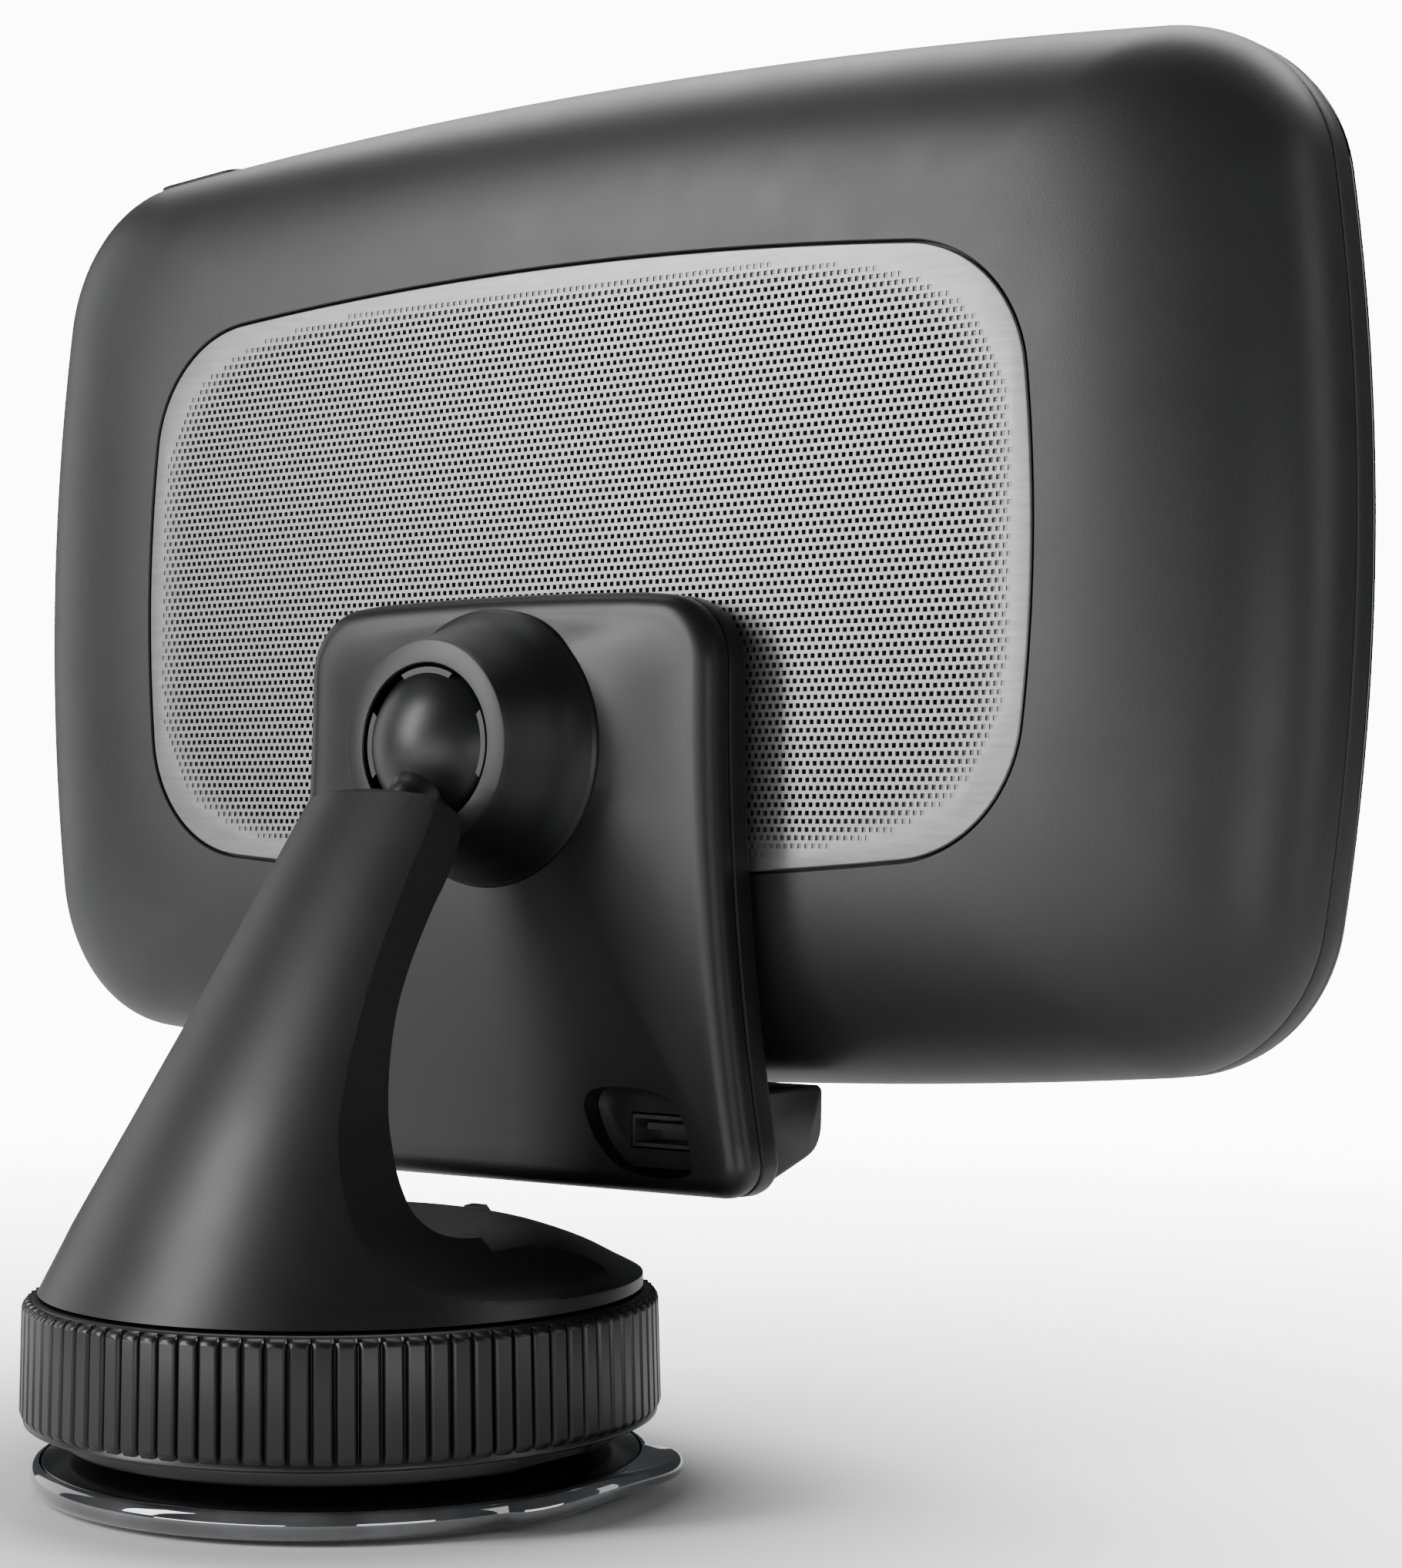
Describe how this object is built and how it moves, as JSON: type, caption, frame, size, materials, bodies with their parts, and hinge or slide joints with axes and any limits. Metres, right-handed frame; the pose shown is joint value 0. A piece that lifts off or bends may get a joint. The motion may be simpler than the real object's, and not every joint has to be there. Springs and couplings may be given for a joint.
{
  "type": "radar detector display unit on suction mount",
  "caption": "Wide screen-type in-car alert unit with a rear speaker grille, clipped to a powered dock on a ball-jointed suction-cup arm.",
  "frame": {"origin": "centre of the suction cup's flat underside", "axes": "+Z away from the suction face, the screen faces -Y, +X to the right seen from the screen side"},
  "size_m": [0.154, 0.0755, 0.1294],
  "materials": {
    "charcoal_shell": "fine matte",
    "grille_grey": "satin, perforated",
    "satin_black": "satin",
    "rubber": "matte",
    "front_glass": "polished",
    "steel": "plain",
    "board_green": "solder mask",
    "contact_gold": "plated",
    "acoustic_cloth": "woven",
    "suction_black": "glossy"
  },
  "bodies": {
    "mount": {"arm_base": "satin_black", "ball_stud": "satin_black", "base_plate": "satin_black", "suction_cup": "suction_black", "plunger_spring": "steel"},
    "twist_ring": {"lock_ring": "satin_black"},
    "lifter": {"plunger": "steel"},
    "seat": {"ball_seat": "rubber"},
    "socket": {"socket_clamp": "satin_black"},
    "dock": {"dock_cover": "satin_black", "dock_tray": "satin_black", "ball_collar": "satin_black", "usb_recess_cup": "satin_black", "usb_shell": "steel", "usb_tongue": "satin_black", "dock_board": "board_green", "dock_magnet_left": "steel", "dock_magnet_right": "steel", "dock_screw_1": "steel", "dock_screw_2": "steel", "dock_screw_3": "steel", "dock_screw_4": "steel"},
    "pins": {"contact_pins": "contact_gold"},
    "screen_unit": {"front_glass": "front_glass", "side_frame": "charcoal_shell", "rear_housing": "charcoal_shell", "speaker_grille": "grille_grey", "acoustic_cloth": "acoustic_cloth", "contact_pads": "contact_gold", "display_panel": "front_glass", "panel_bracket": "steel", "main_board": "board_green", "processor_shield": "steel", "battery_pack": "satin_black", "positioning_antenna": "steel", "keeper_left": "steel", "keeper_right": "steel", "power_switch": "steel", "speaker_left_basket": "steel", "speaker_left_cone": "acoustic_cloth", "speaker_left_magnet": "steel", "speaker_right_basket": "steel", "speaker_right_cone": "acoustic_cloth", "speaker_right_magnet": "steel"},
    "power_key": {"power_button": "charcoal_shell"}
  },
  "joints": [
    {"name": "lock_twist", "type": "hinge", "parent": "mount", "child": "twist_ring", "pos_m": [0, 0, 0.011], "axis": [0, 0, 1], "range_deg": [0, 80]},
    {"name": "plunger_lift", "type": "slide", "parent": "mount", "child": "lifter", "axis": [0, 0, 1], "range_m": [0, 0.0024], "deforming": ["plunger_spring"]},
    {"name": "ball_swivel", "type": "hinge", "parent": "mount", "child": "seat", "pos_m": [0, -0.01656, 0.06453], "axis": [0, 0.8171, -0.5764], "range_deg": [-12, 12]},
    {"name": "ball_tilt", "type": "hinge", "parent": "seat", "child": "socket", "pos_m": [0, -0.01656, 0.06453], "axis": [1, 0, 0], "range_deg": [-45, 0]},
    {"name": "ball_roll", "type": "hinge", "parent": "socket", "child": "dock", "pos_m": [0, -0.01656, 0.06453], "axis": [0, -0.9997, -0.0236], "range_deg": [-11, 11]},
    {"name": "display_release", "type": "slide", "parent": "dock", "child": "screen_unit", "axis": [0, -0.9997, -0.0236], "range_m": [0, 0.03]},
    {"name": "pins_press", "type": "slide", "parent": "dock", "child": "pins", "axis": [0, 0.9997, 0.0236], "range_m": [0, 0.0006], "stiffness_N_per_m": 400, "springref_m": -0.0005},
    {"name": "power_press", "type": "slide", "parent": "screen_unit", "child": "power_key", "axis": [-0.077, -0.1677, -0.9828], "range_m": [0, 0.0004], "stiffness_N_per_m": 800, "springref_m": -0.0005}
  ],
  "couplings": [
    {"joint": "plunger_lift", "follows": "lock_twist", "m_per_rad": 0.0017}
  ]
}
